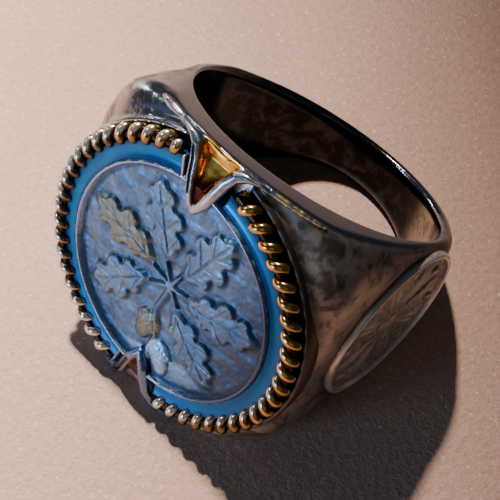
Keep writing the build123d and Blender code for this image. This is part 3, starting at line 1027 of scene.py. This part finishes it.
def make_rope(material):
    """Border of gilt wire wound as a coil, in two arcs between the claws."""
    for side, middle in FACE_SIDES:
        points, faces = rope_coil(middle, *ROPE_STEPS)
        x, y, z = points.T
        away, rise = np.hypot(x, y) - ROPE_R, (z - ROPE_Z) / ROPE_FLAT
        # How far a point on the wire faces the light from the upper left
        to_left = away * (ROPE_LIGHT_Y * y - ROPE_LIGHT_X * x) / (ROPE_LEAN * ROPE_R)
        # Greyer towards the lower left
        grey_lower_left = climb(-x - 0.9 * y, -2, 6)
        # Painted highlight on the wire's top where it faces the light
        lit_crest = climb(rise, -0.05, 0.25) * climb(to_left + 0.5 * grey_lower_left, 0.15, 0.5)
        # Painted shade where the wire faces away from the light, less on the lower right
        on_right = climb(x, 2, 6) * climb(y, -7, -3)
        wire_shade = climb(-to_left, -0.05, 0.5) * (1 - 0.75 * on_right)
        marks = {
            # Painted shade in the grooves beside the wire's core
            "groove_shade": 1 - climb(np.hypot(away, rise), *ROPE_GROOVE_SHADE),
            "lit_crest": lit_crest,
            "grey_lower_left": grey_lower_left,
            # Painted shade grows towards -Y too
            "wire_shade": np.maximum(wire_shade, climb(-y, 1, 7) * (1 - lit_crest)),
        }
        make_piece(f"rope_{side}_wire", points, faces, material, f"rope_{side}", marks)


# Sprig on the face: leaf middles as shares of the face's radius, turn in degrees, and size
LEAVES = (
    (-0.53, 0.14, 165, 1.0),
    (-0.21, 0.51, 112, 0.97),
    (0.27, 0.48, 60, 1.0),
    (0.55, 0.08, 8, 1.0),
    (0.40, -0.38, -44, 0.96),
    (-0.44, -0.33, 217, 0.96),
)
LEAF_LENGTH = 6.5
LEAF_WIDTH = 3.9
BLADE_WIDTH = 2.3
LEAF_BEND = 0.25
BEND_RATE = 0.55
LOBE_BLEND = 0.12
VEIN_HALF = 0.07
# Lobes of one leaf: place along and across it and radius, as shares of its length and width
LEAF_LOBES = ((0.28, 0.2, 0.17), (0.52, 0.26, 0.21), (0.76, 0.18, 0.17))
ACORNS = ((-0.05, -0.50, 255), (0.15, -0.70, 290))
ACORN_LENGTH = 3.2
ACORN_WIDTH = 2.0
STEM = ((0.05, 0.02), (-0.02, -0.3), (0.06, -0.55), (0.02, -0.88))
STEM_R = (0.3, 0.26, 0.24, 0.34)
STALK_START = 0.03
STALK_END = 0.36
STALK_R = (0.2, 0.16)
FACE_RELIEF = 0.34


def turned(x, y, place, turn):
    """Distances along and across a turned figure on the face."""
    cos, sin = math.cos(math.radians(turn)), math.sin(math.radians(turn))
    x, y = x - place[0] * FACE_R, y - place[1] * FACE_R
    return x * cos + y * sin, -x * sin + y * cos


def leaf_relief(x, y, place, turn, size):
    """Height of a lobed leaf, the cut of its veins and the distance in from its edge."""
    length, width = LEAF_LENGTH * size, LEAF_WIDTH * size
    along, across = turned(x, y, place, turn)
    side = np.abs(across - LEAF_BEND * np.sin(along * BEND_RATE))
    blade_half = BLADE_WIDTH * size / 2
    away = (np.hypot(along * 2 / length, side / blade_half) - 1) * blade_half
    vein = side
    for share, offset, radius in LEAF_LOBES:
        middle = (share - 0.5) * length
        lobe = np.hypot(along - middle, side - offset * width) - radius * width
        away = soft_min(away, lobe, LOBE_BLEND)
        root = (middle - 0.14 * length, 0, 0)
        tip = (middle + 0.05 * length, (offset + radius * 0.6) * width, 0)
        vein = np.minimum(vein, bar_distance(along, side, 0 * side, (root, tip), (-0.02, -0.02)))
    room = -away
    height = climb(room, -0.02, 0.24) * (0.9 + 0.1 * climb(room, 0.1, 0.8))
    veins = np.exp(-(vein / VEIN_HALF) ** 2) * climb(room, 0.1, 0.35)
    return height, veins, room


def acorn_relief(x, y, place, turn):
    """Height of an acorn with a scored cup, and how far in a point lies."""
    along, across = turned(x, y, place, turn)
    along, across = along / ACORN_LENGTH, across / ACORN_WIDTH
    short, long = 0.42, 0.56
    nut = 1 - (np.maximum(along, 0) / long) ** 2 - (across / short) ** 2
    cap = 1 - (along / short) ** 2 - (across / long) ** 2
    cap = np.where(along < 0.05, cap, -1)
    height = np.maximum(np.sqrt(np.clip(nut, 0, 1)) * (along > 0), np.sqrt(np.clip(cap, 0, 1)) * 1.1)
    score = np.sin(along * 34) * np.sin(across * 26) * (cap > 0.05)
    return height - 0.1 * np.maximum(score, 0), np.maximum(nut * (along > 0), cap)


def sprig(x, y):
    """Height of the sprig and its tan, recessed and raised shares. The first of each kind is tan."""
    stem = np.array([(sx * FACE_R, sy * FACE_R, 0) for sx, sy in STEM])
    height = climb(-bar_distance(x, y, 0 * x, stem, STEM_R), -0.12, 0.22) * 0.9
    tan, recess, raised = 0 * x, 0 * x, 0 * x
    for sx, sy, _, _ in LEAVES:
        end = (sx * FACE_R * STALK_END, sy * FACE_R * STALK_END, 0)
        stalk = bar_distance(x, y, 0 * x, np.array([(STALK_START * FACE_R, 0, 0), end]), STALK_R)
        height = np.maximum(height, climb(-stalk, -0.1, 0.14) * 0.8)
        raised = np.maximum(raised, climb(-stalk, -0.02, 0.1))
    for number, (*place, turn, size) in enumerate(LEAVES):
        leaf, veins, room = leaf_relief(x, y, place, turn, size)
        clear = 1 - climb(room, 0.0, 0.12)
        height = np.maximum(height * clear, leaf - 0.25 * veins)
        recess = np.maximum(recess * clear, np.exp(-((room + 0.06) / 0.17) ** 2) * 0.75)
        recess = np.maximum(recess, veins * 0.7)
        raised = np.maximum(raised * clear, climb(room, 0.0, 0.25))
        tan = np.maximum(tan * clear, climb(room, 0.02, 0.14) * (number == 0))
    for number, (*place, turn) in enumerate(ACORNS):
        acorn, room = acorn_relief(x, y, place, turn)
        inside = climb(room, 0.0, 0.1)
        height = np.maximum(height, acorn * 1.25)
        raised = np.maximum(raised, inside)
        recess = np.maximum(recess * (1 - inside), np.exp(-((room + 0.12) / 0.16) ** 2) * 0.9)
        tan = np.maximum(tan * (1 - inside), inside * (number == 0))
    return height, tan, recess, raised


def make_face(material):
    """Struck medallion with its raised line and the oak sprig."""
    rings, turns = FACE_STEPS
    r, a = polar_grid(rings, turns, FACE_R, crowd=0.92)
    x, y = r * np.cos(a), r * np.sin(a)
    height, tan, recess, raised = sprig(x, y)
    line = bead(r - FACE_LINE_R, FACE_LINE_HALF)
    in_line = climb(line, 0.05, 0.5)
    foot = np.exp(-((r - FACE_LINE_R + FACE_LINE_HALF + 0.16) / 0.34) ** 2)
    recess = np.maximum(recess * (r < FACE_LINE_R - 0.2), foot * 0.85) * (1 - in_line)
    dents = ripples(x, y, 0 * x, 1.3, 24) * 0.03 + ripples(x, y, 0 * x, 0.5, 24) * 0.012
    z = FACE_FIELD_Z + FACE_RELIEF * height + dents * (1 - in_line) + (FACE_LINE_Z - FACE_FIELD_Z) * line
    points, faces = backed(np.stack([x, y, z], axis=-1), 2, (0, 0, TRAY_Z), 0.002)
    # Painted shade across the face towards +X, less on the raised sprig
    shade_towards_x = climb(x - 0.12 * y, 1.5, 8.2) * (1 - 0.3 * raised)
    marks = {"tan": tan, "recess": recess, "line": in_line, "raised": raised * (1 - recess), "shade_towards_x": shade_towards_x}
    marks = {name: np.append(values, np.zeros(2 * turns)) for name, values in marks.items()}
    make_piece("struck_medallion", points, faces, material, "face_medallion", marks)


def bead(distance, radius):
    """Height of a half-round raised form between 0 and 1."""
    return np.sqrt(np.clip(1 - (distance / radius) ** 2, 0, 1))


def make_sides(material):
    """Round cast medallions on the two flanks, each with a rosette."""
    rings, turns = SIDE_STEPS
    r, a = polar_grid(rings, turns, SIDE_R)
    field_r = SIDE_R - SIDE_RIM_WIDTH
    petal_mid = (field_r + SIDE_FIELD_R) / 2
    petal_half = (field_r - SIDE_FIELD_R) / 2 - PETAL_CLEAR
    sector = 2 * math.pi / SIDE_PETALS
    from_petal = ((a * SIDE_PETALS / (2 * math.pi)) % 1 - 0.5) * sector
    from_dot = ((a * SIDE_PETALS / (2 * math.pi) + 0.5) % 1 - 0.5) * sector
    across = r * np.sin(from_petal)
    along = (r * np.cos(from_petal) - petal_mid) / petal_half
    petal = 1 - along**2 - (across / (PETAL_HALF + PETAL_SPREAD * along)) ** 2
    petals = np.sqrt(np.clip(petal, 0, 1)) * (1 - 0.45 * np.exp(-(across / 0.14) ** 2))
    dots = bead(np.hypot(r * np.sin(from_dot), r - SIDE_DOT_AT_R), SIDE_DOT_R)
    rim = bead(r - SIDE_R + SIDE_RIM_HALF, SIDE_RIM_HALF)
    relief = np.maximum.reduce([petals, dots, bead(r, SIDE_BOSS_R)])
    # Polished crests and rim, brightened also as a painted highlight
    lit_crest = np.maximum(climb(relief, 0.45, 1.0) * 0.55, climb(rim, 0.02, 0.15))
    marks = {"lit_crest": np.append(lit_crest, np.full(2 * turns, 0.5))}
    for name, side in (("right", 1), ("left", -1)):
        y, z = r * np.cos(a) * side, SIDE_Z + r * np.sin(a)
        dents = ripples(0 * y, y, z, 1.2, 20) * 0.025 + ripples(0 * y, y, z, 0.5, 20) * 0.012
        x = SIDE_GROUND_X + SIDE_RELIEF * relief + dents * (1 - 0.6 * rim)
        x = (x + (SIDE_RIM_X - SIDE_GROUND_X) * rim) * side
        hub = (SIDE_BACK_X * side, 0, SIDE_Z)
        points, faces = backed(np.stack([x, y, z], axis=-1), 0, hub, 0.003)
        node = f"side_medallion_{name}"
        make_piece(f"side_rosette_{name}", points, faces, material, node, marks)


# Room: floor, lights and camera

FLOOR_HALF = 0.6
LAMP_AIM_Z = 0.008
# Area lamps: azimuth and elevation in degrees, distance and size in metres, power and tint
LAMPS = {
    "face_softbox": (252, 9, 0.32, 0.10, 0.42, (0.34, 0.60, 1.0)),
    "window": (218, 12, 0.45, 0.14, 0.008, (0.3, 0.45, 1.0)),
    "low_lamp": (163, 7, 0.50, 0.04, 0.22, (1.0, 0.97, 0.92)),
    "high_lamp": (206, 37, 0.40, 0.012, 0.24, (1.0, 0.96, 0.90)),
    "room": (303, 32, 0.60, 0.42, 0.10, (1.0, 0.92, 0.82)),
}
GLINT_LAMPS = ("low_lamp", "high_lamp")
KEY_AZIMUTH, KEY_ELEVATION, KEY_DISTANCE = 148, 56, 0.4
KEY_AIM = (-0.073, -0.067, 0)
KEY_CONE = 40
KEY_SIZE = 0.012
KEY_POWER = 26
KEY_TINT = (1.0, 0.87, 0.78)
ROOM_TINT = (0.58, 0.63, 0.76, 1)
ROOM_STRENGTH = 0.05
CAMERA_AZIMUTH, CAMERA_ELEVATION, CAMERA_ROLL = 42.11 - 90, 59.80, 3.80
CAMERA_AIM = (0.40, -2.00, 7.0)
CAMERA_AWAY = 85.14
CAMERA_LENS = 85.76
CAMERA_SENSOR = 36
CAMERA_CLIP = (0.005, 5)


def make_floor(material):
    """Pale surface that the ring lies on."""
    half = FLOOR_HALF
    corners = [(-half, -half, 0), (half, -half, 0), (half, half, 0), (-half, half, 0)]
    mesh = bpy.data.meshes.new("floor")
    mesh.from_pydata(corners, [], [(0, 1, 2, 3)])
    mesh.materials.append(material)
    add_object("floor", mesh)


def direction(azimuth, elevation):
    """Direction from the ring, by azimuth from +X towards +Y and elevation in degrees."""
    a, e = math.radians(azimuth), math.radians(elevation)
    return Vector((math.cos(a) * math.cos(e), math.sin(a) * math.cos(e), math.sin(e)))


def place(name, data, location, back):
    """Lamp or camera with a direction at its back."""
    item = add_object(name, data)
    item.location = location
    item.rotation_mode = "QUATERNION"
    item.rotation_quaternion = back.to_track_quat("Z", "Y")
    return item


def make_key():
    """Hard warm light from behind on the left, fading towards the right."""
    light = bpy.data.lights.new("key", "SPOT")
    light.spot_size = math.radians(KEY_CONE)
    light.spot_blend = 1.0
    light.shadow_soft_size = KEY_SIZE
    light.energy = KEY_POWER
    light.color = KEY_TINT
    location = KEY_DISTANCE * direction(KEY_AZIMUTH, KEY_ELEVATION)
    place("key", light, location, location - Vector(KEY_AIM))


def make_lights():
    """Warm key, cool soft light on the face, and a dim room."""
    make_key()
    for name, (azimuth, elevation, distance, size, power, tint) in LAMPS.items():
        light = bpy.data.lights.new(name, "AREA")
        light.size = size
        light.energy = power
        light.color = tint
        back = direction(azimuth, elevation)
        lamp = place(name, light, Vector((0, 0, LAMP_AIM_Z)) + back * distance, back)
        lamp.visible_diffuse = name not in GLINT_LAMPS
    world = bpy.data.worlds.new("room")
    world.use_nodes = True
    background = world.node_tree.nodes["Background"]
    background.inputs["Color"].default_value = ROOM_TINT
    background.inputs["Strength"].default_value = ROOM_STRENGTH
    bpy.context.scene.world = world


def make_camera():
    """Camera at the photograph's place, with a slight roll."""
    camera = bpy.data.cameras.new("camera")
    camera.sensor_width = CAMERA_SENSOR
    camera.lens = CAMERA_LENS
    camera.clip_start, camera.clip_end = CAMERA_CLIP
    back = direction(CAMERA_AZIMUTH, CAMERA_ELEVATION)
    location = Vector(CAMERA_AIM) * MM + back * (CAMERA_AWAY * MM)
    holder = place("camera", camera, location, back)
    holder.rotation_quaternion @= Matrix.Rotation(math.radians(CAMERA_ROLL), 4, "Z").to_quaternion()
    bpy.context.scene.camera = holder


make_camera()
make_lights()
make_floor(floor_finish())
silver = silver_finish()
claw_silver = claw_finish()
make_body(silver)
make_cup(silver)
make_claws(claw_silver)
make_ridges(claw_silver)
make_enamel(enamel_finish())
make_rope(gilt_finish())
make_face(medallion_finish())
make_sides(side_finish())
